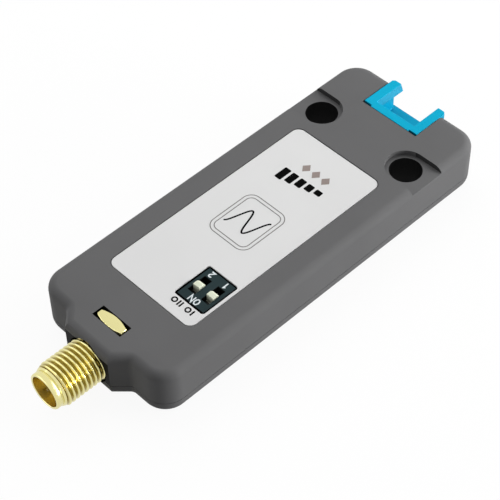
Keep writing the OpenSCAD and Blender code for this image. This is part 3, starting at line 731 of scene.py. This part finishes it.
@dataclass
class AerialJack:
    """The turned jack with its thread, six-sided collar and rear stub."""

    axis_z: float = AXIS_Z
    end: float = 58.2
    lip_x: float = 57.3
    lip_r: float = 2.68
    mouth_r: float = 2.3
    mouth_x: float = 55.2
    bore_r: float = 2.05
    thread_r: float = 3.175
    thread_depth: float = 0.34
    thread_start: float = 47.45
    thread_end: float = 56.75
    pitch: float = 0.7056
    crest_x: float = 56.45
    collar_x: float = 45.7
    collar_af: float = 8.0
    collar_bevel: float = 0.55
    stub_x: float = 42.7
    stub_r: float = 2.2
    stub_bore: float = 1.13
    wall: float = 0.02
    crest: float = 0.07
    hollow: float = 0.27
    turns: int = 192

    def build(self, nodes: dict[str, bpy.types.Object]) -> None:
        """Makes the jack's turned body and dresses what it holds.

        Args:
            nodes: The frame's CAD nodes.
        """
        parts = MeshParts()
        parts.add_grid(self.surface(), wrap_rows=True, wrap_columns=True)
        body = parts.build("aerial_jack_turning", GOLD_THREAD, 40.0)
        # Painted shade: the thread's faces darken towards the grooves' bottoms.
        mark_painted_shade(body, self.painted_shade_share)
        # Painted reflection: the mouth's faces get the warmer gold.
        self.paint_mouth_reflection(body)
        place(body, "housing", GOLD_THREAD, "aerial_jack")
        dress(nodes["jack_insulator"], INSULATOR)
        dress(nodes["jack_contact"], GOLD_SHADED)
        dress(nodes["crimp_sleeve"], GOLD)

    def painted_shade_share(self, middles: Array) -> Array:
        """Painted shade in the thread's grooves: a face's distance under the crests over the hollows'
        depth.

        Args:
            middles: The faces' middles, as rows of x, y, z.

        Returns:
            Each face's share of the painted shade colour.
        """
        x, radius = middles[:, 0], np.hypot(middles[:, 1], middles[:, 2] - self.axis_z)
        on_thread = (x > self.thread_start) & (x < self.thread_end) & (radius > self.mouth_r + self.wall)
        hollow = np.clip((self.thread_r - radius - self.crest) / self.hollow, 0.0, 1.0)
        return np.where(on_thread, hollow, 0.0)

    def paint_mouth_reflection(self, body: bpy.types.Object) -> None:
        """Gives the faces in the mouth a warmer gold, a painted reflection of their mirroring each
        other.

        Args:
            body: The turned body.
        """
        body.data.materials.append(GOLD_MOUTH_PAINTED_REFLECTION.material())
        for face in body.data.polygons:
            x, y, z = face.center / MM
            in_mouth = x > self.mouth_x and math.hypot(y, z - self.axis_z) < self.mouth_r + self.wall
            face.material_index = int(in_mouth)

    def surface(self) -> Array:
        """The closed surface of the body, over stations along it and turns round its axis.

        A station has a place x and a radius. On the thread the radius is the root's, plus the depth
        times a tooth of the share of a pitch that x is past the helix, which runs forward by a pitch
        in a turn. On the collar it is the distance to a six-sided outline, cut by the collar's
        chamfer. Elsewhere it is the station's own.

        Returns:
            The points, as stations × turns × 3.
        """
        turn = np.linspace(0.0, 2.0 * np.pi, self.turns, endpoint=False)[None, :]
        x, base, kind = self.stations()
        x, base, kind = x[:, None], base[:, None], kind[:, None]
        share = (x - self.crest_x) / self.pitch - turn / (2.0 * np.pi)
        tooth = np.clip(0.5 + 0.62 * np.cos(2.0 * np.pi * share), 0.0, 1.0)
        thread = np.minimum(self.thread_r - self.thread_depth * (1.0 - tooth), base)
        facet = np.mod(turn, np.pi / 3) - np.pi / 6
        hexagon = np.minimum(self.collar_af / 2 / np.cos(facet), base)
        radius = np.select([kind == 1, kind == 2], [thread, hexagon], base + 0.0 * turn)
        return np.stack([x + 0.0 * turn, radius * np.cos(turn),
                         self.axis_z + radius * np.sin(turn)], axis=-1)

    def stations(self) -> tuple[Array, Array, Array]:
        """Stations from the stub's rear face, forward outside and back through the bore.

        Returns:
            Places, radii or limits of them, and kinds: 0 turned, 1 threaded, 2 six-sided.
        """
        collar_end = self.thread_start
        tip = self.collar_af / math.sqrt(3.0) + 0.05
        flat = self.collar_af / 2 - 0.05
        rows: list[tuple[float, float, int]] = [
            (self.stub_x, self.stub_bore, 0), (self.stub_x, self.stub_r - 0.3, 0),
            (self.stub_x + 0.3, self.stub_r, 0), (self.collar_x, self.stub_r, 0),
            (self.collar_x, flat - 0.3, 2), (self.collar_x, flat, 2)]
        rows += [(self.collar_x + s * self.collar_bevel, flat + s * (tip - flat), 2)
                 for s in np.linspace(0.125, 1.0, 8)]
        rows += [(collar_end - (1 - s) * self.collar_bevel, tip - s * (tip - flat), 2)
                 for s in np.linspace(0.0, 1.0, 9)]
        rows += [(collar_end, flat - 0.3, 2), (collar_end, self.thread_r - self.thread_depth, 0)]
        along = np.arange(collar_end + 0.04, self.thread_end, 0.045)
        start = self.thread_r - self.thread_depth + (along - collar_end) * 0.8
        cone = self.thread_r - (along - self.thread_end + 0.32) * 0.9
        limit = np.minimum(np.minimum(start, cone), self.thread_r)
        rows += [(float(a), float(b), 1) for a, b in zip(along, limit)]
        root = self.thread_r - self.thread_depth - 0.1
        rows += [(self.thread_end + 0.02, root, 0), (self.thread_end + 0.1, root, 0),
                 (self.thread_end + 0.16, 2.92, 0), (self.lip_x - 0.12, 2.78, 0),
                 (self.lip_x - 0.08, 2.6, 0), (self.lip_x, 2.58, 0), (self.lip_x + 0.05, 2.64, 0),
                 (self.lip_x + 0.12, self.lip_r, 0), (self.end - 0.16, self.lip_r, 0),
                 (self.end - 0.05, self.lip_r - 0.05, 0), (self.end, self.lip_r - 0.14, 0),
                 (self.end, self.mouth_r + 0.06, 0), (self.end - 0.06, self.mouth_r, 0),
                 (self.mouth_x, self.mouth_r, 0), (self.mouth_x, self.bore_r, 0),
                 (self.collar_x + 0.02, self.bore_r, 0), (self.collar_x + 0.02, self.stub_bore, 0)]
        x, base, kind = (np.array(column, float) for column in zip(*rows))
        return x, base, kind


@dataclass
class Inside:
    """What the case holds: boards, chips and the aerial's lead."""

    finishes: dict[str, Finish] = field(default_factory=lambda: {
        "main_board": MASK_DARK, "radio_board": MASK_GREEN, "shield_can": TIN, "oscillator": TIN,
        "level_regulator": EPOXY, "chip_capacitors": CERAMIC, "chip_resistors": EPOXY,
        "aerial_lead": LEAD_JACKET, "lead_plug": GOLD, "lead_receptacle": GOLD})

    def build(self, nodes: dict[str, bpy.types.Object]) -> None:
        """Dresses the pieces inside.

        Args:
            nodes: The frame's CAD nodes.
        """
        for name, finish in self.finishes.items():
            dress(nodes[name], finish)


# Studio

@dataclass
class Lamp:
    """A square soft lamp that looks at the object's middle.

    level is the light it gives on a face square to it there: 1 shows a colour as it is written.
    """

    name: str
    azimuth: float
    elevation: float
    level: float
    distance: float = 0.5
    size: float = 0.5
    mirrored: bool = True

    def build(self, target: Vector) -> None:
        """Makes the lamp. Its power is pi squared times the squared distance times the level.

        Args:
            target: The point that it looks at.
        """
        a, e = math.radians(self.azimuth), math.radians(self.elevation)
        away = Vector((math.cos(a) * math.cos(e), math.sin(a) * math.cos(e), math.sin(e)))
        data = bpy.data.lights.new(self.name, "AREA")
        data.size = self.size
        data.energy = math.pi ** 2 * self.distance ** 2 * self.level
        lamp = bpy.data.objects.new(self.name, data)
        lamp.visible_glossy = self.mirrored
        lamp.location = target + away * self.distance
        lamp.rotation_euler = away.to_track_quat("Z", "Y").to_euler()
        bpy.context.scene.collection.objects.link(lamp)


@dataclass
class Studio:
    """The pale floor, the soft lamps and the camera."""

    target: Vector = field(default_factory=lambda: Vector((23.427, 1.266, 4.0)) * MM)
    azimuth: float = -223.615
    elevation: float = 48.598
    roll: float = -1.074
    distance: float = 217.822
    lens: float = 116.736
    ambient: float = 0.2
    floor_colour: float = 0.3
    shadow_share: float = 0.07

    def build(self) -> None:
        """Makes the floor, the world, the lamps and the camera."""
        scene = bpy.context.scene
        scene.view_settings.view_transform = "Standard"
        self.floor()
        self.world(scene)
        for lamp in (Lamp("lamp_key", 150.0, 22.0, 0.85), Lamp("lamp_side", 124.0, 2.0, 1.2, size=0.2),
                     Lamp("lamp_back", 240.0, 50.0, 0.67, mirrored=False),
                     Lamp("lamp_front", 325.0, 9.0, 0.3)):
            lamp.build(self.target)
        self.camera(scene)

    def seen_directly(self, tree: bpy.types.NodeTree) -> bpy.types.NodeSocket:
        """1 for rays from the camera, a mirror or a clear body, and 0 for the rest.

        Args:
            tree: The nodes of the floor or the world.

        Returns:
            The value.
        """
        path = tree.nodes.new("ShaderNodeLightPath")
        total = path.outputs["Is Camera Ray"]
        for ray in ("Is Glossy Ray", "Is Transmission Ray"):
            largest = tree.nodes.new("ShaderNodeMath")
            largest.operation = "MAXIMUM"
            tree.links.new(total, largest.inputs[0])
            tree.links.new(path.outputs[ray], largest.inputs[1])
            total = largest.outputs["Value"]
        return total

    def floor(self) -> None:
        """A wide floor under the case that shows white and keeps a faint shadow."""
        bpy.ops.mesh.primitive_plane_add(size=4.0, location=(0.0, 0.0, -0.00002))
        floor = bpy.context.object
        floor.name = "floor"
        material = bpy.data.materials.new("floor_white")
        material.use_nodes = True
        tree = material.node_tree
        tree.nodes.remove(tree.nodes["Principled BSDF"])
        grey = tree.nodes.new("ShaderNodeBsdfDiffuse")
        grey.inputs["Color"].default_value = (*(self.floor_colour,) * 3, 1.0)
        pale = tree.nodes.new("ShaderNodeBsdfDiffuse")
        pale.inputs["Color"].default_value = (1.0, 1.0, 1.0, 1.0)
        glow = tree.nodes.new("ShaderNodeEmission")
        glow.inputs["Color"].default_value = (1.0, 1.0, 1.0, 1.0)
        shown = tree.nodes.new("ShaderNodeMixShader")
        shown.inputs["Fac"].default_value = self.shadow_share
        choice = tree.nodes.new("ShaderNodeMixShader")
        tree.links.new(glow.outputs["Emission"], shown.inputs[1])
        tree.links.new(pale.outputs["BSDF"], shown.inputs[2])
        tree.links.new(self.seen_directly(tree), choice.inputs["Fac"])
        tree.links.new(grey.outputs["BSDF"], choice.inputs[1])
        tree.links.new(shown.outputs["Shader"], choice.inputs[2])
        tree.links.new(choice.outputs["Shader"], tree.nodes["Material Output"].inputs["Surface"])
        floor.data.materials.append(material)

    def world(self, scene: bpy.types.Scene) -> None:
        """Plain soft light from all round, which the camera and mirrors see as white.

        Args:
            scene: The scene.
        """
        world = bpy.data.worlds.new("studio")
        scene.world = world
        world.use_nodes = True
        tree = world.node_tree
        background = tree.nodes["Background"]
        background.inputs["Color"].default_value = (1.0, 1.0, 1.0, 1.0)
        strength = tree.nodes.new("ShaderNodeMapRange")
        strength.inputs["To Min"].default_value = self.ambient
        strength.inputs["To Max"].default_value = 1.0
        tree.links.new(self.seen_directly(tree), strength.inputs["Value"])
        tree.links.new(strength.outputs["Result"], background.inputs["Strength"])

    def camera(self, scene: bpy.types.Scene) -> None:
        """The photograph's camera, from its azimuth, elevation, roll and distance.

        Args:
            scene: The scene.
        """
        a, e, roll = (math.radians(v) for v in (self.azimuth, self.elevation, self.roll))
        back = Vector((math.sin(a) * math.cos(e), -math.cos(a) * math.cos(e), math.sin(e)))
        right = Vector((0.0, 0.0, 1.0)).cross(back).normalized()
        up = back.cross(right)
        turned_right = math.cos(roll) * right + math.sin(roll) * up
        turned_up = math.cos(roll) * up - math.sin(roll) * right
        data = bpy.data.cameras.new("camera")
        data.lens = self.lens
        data.sensor_width = 36.0
        data.clip_start = 0.005
        camera = bpy.data.objects.new("camera", data)
        axes = Matrix((turned_right, turned_up, back)).transposed()
        camera.matrix_world = Matrix.Translation(self.target + back * self.distance * MM) @ axes.to_4x4()
        scene.collection.objects.link(camera)
        scene.camera = camera


def main() -> None:
    """Builds the sub-assemblies in order."""
    logging.basicConfig(level=logging.INFO, format="%(name)s: %(message)s")
    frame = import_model()
    Studio().build()
    for part in (CaseHalves(), FaceLabel(), SlideSwitch(), CableSocket(), AerialJack(), Inside()):
        LOG.info("building %s", type(part).__name__)
        part.build(frame["nodes"])


if __name__ == "__main__":
    main()
